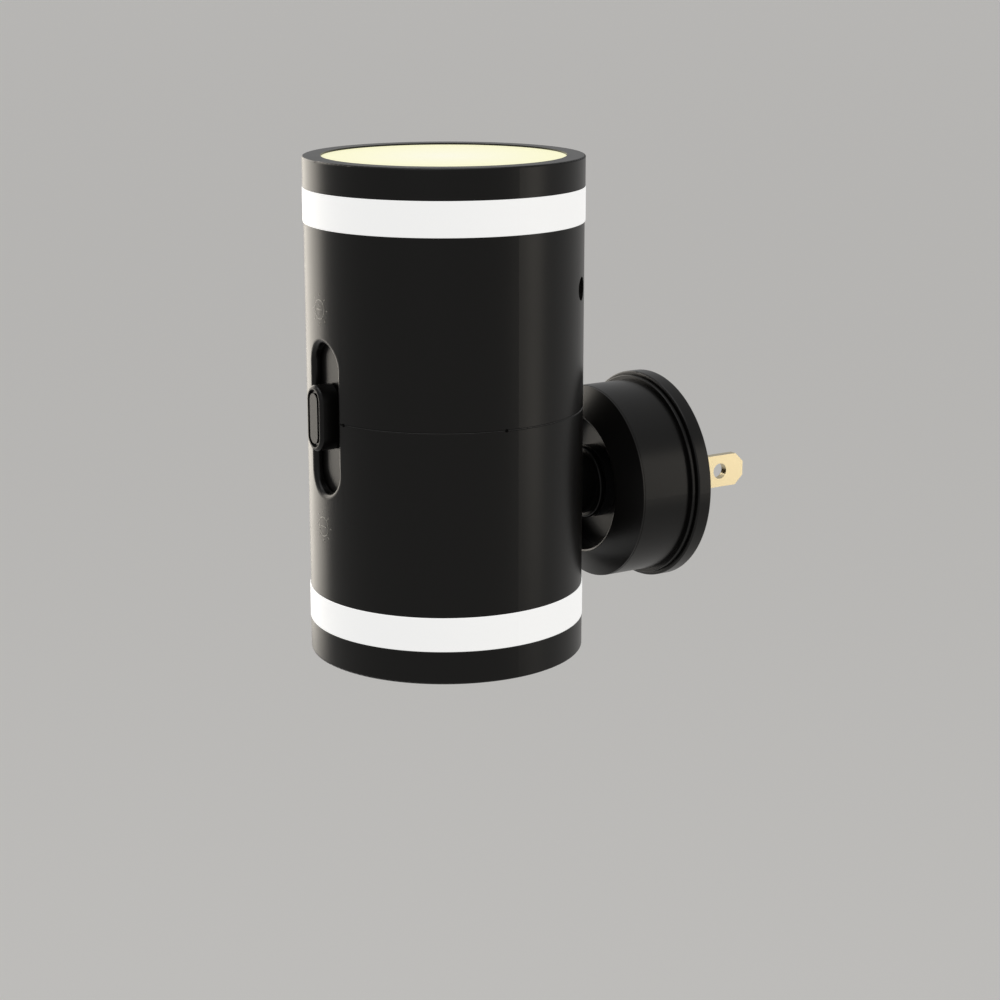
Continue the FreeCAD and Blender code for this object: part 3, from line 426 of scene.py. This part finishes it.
def sun_mark(name, up, tree, bars):
    """A sun of a ring and rays, with the given bars in its middle, laid on the housing's front."""
    depth = MARK_PROUD + MARK_SINK
    values = {"Count": RAY_COUNT, "Start": RAY_START, "End": RAY_END, "Width": MARK_LINE, "Depth": depth}
    mesh = tree_mesh(name, tree, values)
    bm = bmesh.new()
    bm.from_mesh(mesh)
    add_ring(bm, MARK_RING, MARK_LINE, depth)
    for width, height in bars:
        add_bar(bm, width, height, depth)
    long_edges = [edge for edge in bm.edges if edge.calc_length() > MARK_LINE * 2]
    bmesh.ops.subdivide_edges(bm, edges=long_edges, cuts=MARK_CUTS)
    middle = HOUSING_RADIUS + (MARK_PROUD - MARK_SINK) / 2
    for vertex in bm.verts:
        across, along, out = vertex.co
        angle = (across + MARK_OFFSET) / HOUSING_RADIUS
        reach = middle + out
        vertex.co = (reach * math.sin(angle), AXIS_OUT - reach * math.cos(angle), up + along)
    bmesh.ops.recalc_face_normals(bm, faces=bm.faces)
    bm.to_mesh(mesh)
    bm.free()
    add_to_head(name, mesh, PRINTED_MARK)


def sun_marks():
    """The brighter mark above the slider and the dimmer one below it."""
    tree = ray_tree(PRINTED_MARK)
    sun_mark("brighter_mark", PLUS_UP, tree, [(MARK_BAR, MARK_LINE), (MARK_LINE, MARK_BAR)])
    sun_mark("dimmer_mark", MINUS_UP, tree, [(MARK_BAR, MARK_LINE)])


def seam_dots():
    """The two pin holes on the seam, as discs just proud of the housing, near-black and matt to paint the shade
    inside the holes.
    """
    bm = bmesh.new()
    for degrees in SEAM_DOT_ANGLES:
        angle = math.radians(degrees)
        out = Vector((math.sin(angle), -math.cos(angle), 0))
        place = Vector((0, AXIS_OUT, SEAM_UP)) + out * HOUSING_RADIUS
        turn = out.to_track_quat("Z", "Y").to_matrix().to_4x4()
        matrix = Matrix.Translation(place) @ turn
        bmesh.ops.create_cone(bm, cap_ends=True, segments=SEAM_DOT_SIDES, radius1=SEAM_DOT_RADIUS,
                              radius2=SEAM_DOT_RADIUS, depth=2 * MARK_PROUD, matrix=matrix)
    mesh = bpy.data.meshes.new("seam_dots")
    bm.to_mesh(mesh)
    bm.free()
    add_to_head("seam_dots", mesh, HOLE_PAINTED_SHADE)


def seam_lip_painted_sheen():
    """The lap's thin rounded lip in the bottom of the seam, which catches light as a fine line; its finish is
    lighter and glossier than the housing's, a painted sheen on that line.
    """
    bm = bmesh.new()
    rounds = []
    up = Vector((0, 0, 1))
    for step in range(LIP_STEPS + 1):
        angle = math.radians(LIP_START + (LIP_END - LIP_START) * step / LIP_STEPS)
        out = Vector((math.sin(angle), -math.cos(angle), 0))
        middle = Vector((0, AXIS_OUT, SEAM_UP)) + out * (HOUSING_RADIUS - LIP_DEPTH)
        turns = [2 * math.pi * side / LIP_SIDES for side in range(LIP_SIDES)]
        ways = [math.cos(a) * out + math.sin(a) * up for a in turns]
        rounds.append([bm.verts.new(middle + LIP_RADIUS * way) for way in ways])
    for before, after in zip(rounds, rounds[1:]):
        for side in range(LIP_SIDES):
            beside = (side + 1) % LIP_SIDES
            bm.faces.new((before[side], before[beside], after[beside], after[side]))
    bm.faces.new(rounds[0])
    bm.faces.new(rounds[-1])
    bmesh.ops.recalc_face_normals(bm, faces=bm.faces)
    mesh = bpy.data.meshes.new("seam_lip_painted_sheen")
    bm.to_mesh(mesh)
    bm.free()
    mesh.shade_smooth()
    add_to_head("seam_lip_painted_sheen", mesh, LIP_PAINTED_SHEEN)


# Floor, light and camera
def plain_floor():
    """A pale floor, well below the object."""
    mesh = bpy.data.meshes.new("floor")
    half = FLOOR_HALF
    corners = [(x, y, FLOOR_LEVEL) for x, y in ((-half, -half), (half, -half), (half, half), (-half, half))]
    mesh.from_pydata(corners, [], [(0, 1, 2, 3)])
    floor = bpy.data.objects.new("floor", mesh)
    bpy.context.scene.collection.objects.link(floor)
    mesh.materials.append(floor_finish())


def seen_strength(tree, unseen, seen):
    """One strength for light on the object, another where the camera, a gloss or glass looks."""
    path = tree.nodes.new("ShaderNodeLightPath")
    either = add_node(tree, "ShaderNodeMath", operation="MAXIMUM")
    through = add_node(tree, "ShaderNodeMath", operation="MAXIMUM")
    strength = add_node(tree, "ShaderNodeMapRange", to_min=unseen, to_max=seen)
    tree.links.new(path.outputs["Is Camera Ray"], either.inputs[0])
    tree.links.new(path.outputs["Is Glossy Ray"], either.inputs[1])
    tree.links.new(either.outputs["Value"], through.inputs[0])
    tree.links.new(path.outputs["Is Transmission Ray"], through.inputs[1])
    tree.links.new(through.outputs["Value"], strength.inputs["Value"])
    return strength.outputs["Result"]


def floor_finish():
    """A pale matt floor with a little light of its own where the camera or a gloss looks at it."""
    material, tree, shader = new_material("pale_floor")
    shader.inputs["Base Color"].default_value = (*FLOOR_COLOUR, 1)
    shader.inputs["Roughness"].default_value = FLOOR_ROUGHNESS
    shader.inputs["Emission Color"].default_value = (*FLOOR_GLOW, 1)
    tree.links.new(seen_strength(tree, 0.0, FLOOR_LIFT), shader.inputs["Emission Strength"])
    return material


def soft_light(name, place, size, power, colour=(1, 1, 1), spread=180):
    """A softbox that faces the middle of the object."""
    target = Vector((0, AXIS_OUT, SEAM_UP))
    data = bpy.data.lights.new(name, "AREA")
    data.shape = "RECTANGLE"
    data.size, data.size_y = size
    data.energy = power
    data.color = colour
    data.spread = math.radians(spread)
    lamp = bpy.data.objects.new(name, data)
    lamp.location = place
    lamp.rotation_euler = (target - Vector(place)).to_track_quat("-Z", "Y").to_euler()
    bpy.context.scene.collection.objects.link(lamp)


def studio():
    """An even pale world, a warm key and rim at the sides, and weak white light from above and in front."""
    world = bpy.data.worlds.new("studio")
    bpy.context.scene.world = world
    world.use_nodes = True
    tree = world.node_tree
    lit = tree.nodes["Background"]
    lit.inputs["Color"].default_value = (1, 1, 1, 1)
    tree.links.new(seen_strength(tree, WORLD_LIGHT, WORLD_SEEN), lit.inputs["Strength"])
    soft_light("key_left", place=(-0.95, -0.2, 0.1), size=(0.8, 0.9), power=3.6, colour=WARM, spread=140)
    soft_light("rim_right", place=(0.72, 0.66, 0.1), size=(0.35, 0.8), power=0.75, colour=WARM, spread=140)
    soft_light("overhead", place=(0.0, -0.3, 2.4), size=(2.4, 2.4), power=24)
    soft_light("front_fill", place=(1.4, -1.6, 0.8), size=(1.2, 1.2), power=1.5)


def camera():
    """The camera at the photograph's viewing angle."""
    data = bpy.data.cameras.new("camera")
    data.lens = CAMERA_LENS
    data.sensor_width = CAMERA_SENSOR
    data.sensor_fit = "HORIZONTAL"
    data.clip_start = CAMERA_NEAR
    eye = bpy.data.objects.new("camera", data)
    eye.location = CAMERA_PLACE
    eye.rotation_euler = (math.pi / 2 - CAMERA_ELEVATION, 0, CAMERA_AZIMUTH)
    bpy.context.scene.collection.objects.link(eye)
    bpy.context.scene.camera = eye


dress_nodes()
sun_marks()
seam_dots()
seam_lip_painted_sheen()
plain_floor()
studio()
camera()
bpy.context.scene.view_settings.view_transform = "Standard"
